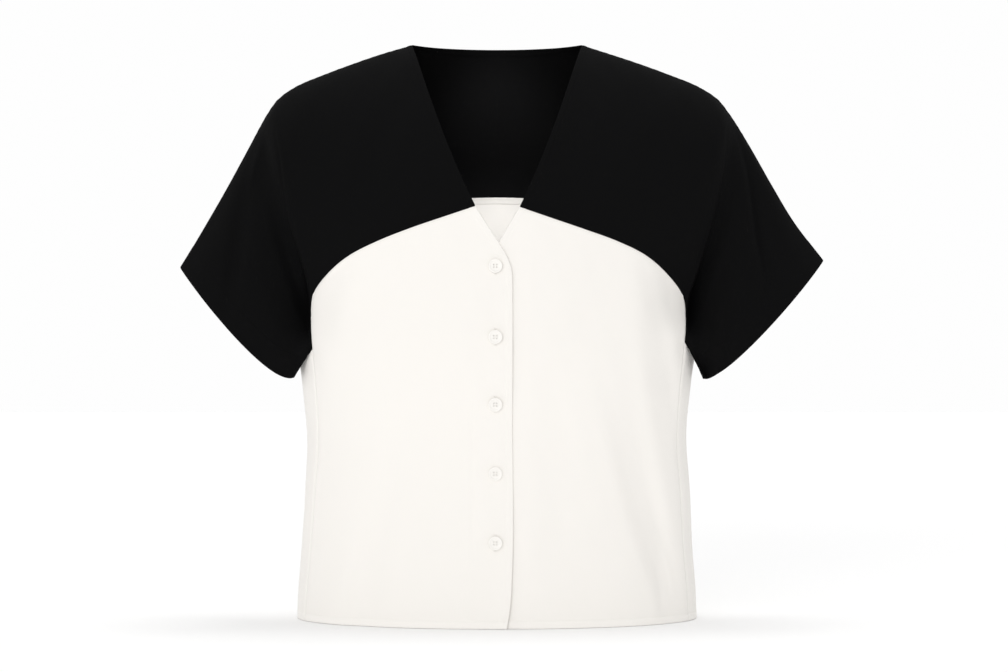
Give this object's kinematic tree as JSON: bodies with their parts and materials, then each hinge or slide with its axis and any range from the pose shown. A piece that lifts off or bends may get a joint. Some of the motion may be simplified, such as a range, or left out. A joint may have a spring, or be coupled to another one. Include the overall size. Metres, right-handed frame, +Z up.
{
  "type": "v-neck short-sleeve blouse",
  "caption": "Woven blouse with a V neck, a black yoke cut in one with short sleeves, and an ivory body that buttons down the front, filled out and hollow.",
  "frame": {"origin": "between the shoulders, 15 mm below the neck points, where the shoulders carry the cloth", "axes": "+X to the wearer's left across the sleeves, -Y out of the buttoned front, +Z up"},
  "size_m": [0.6626, 0.2251, 0.5882],
  "materials": {
    "black_cloth": "matte",
    "ivory_cloth": "matte",
    "ivory_button": "satin"
  },
  "bodies": {
    "root": {"front_yoke_right": "black_cloth", "front_yoke_left": "black_cloth", "back_yoke": "black_cloth", "front_body_right": "ivory_cloth", "front_body_left": "ivory_cloth", "back_body": "ivory_cloth", "button_1": "ivory_button", "button_2": "ivory_button", "button_3": "ivory_button", "button_4": "ivory_button", "button_5": "ivory_button"}
  },
  "joints": []
}
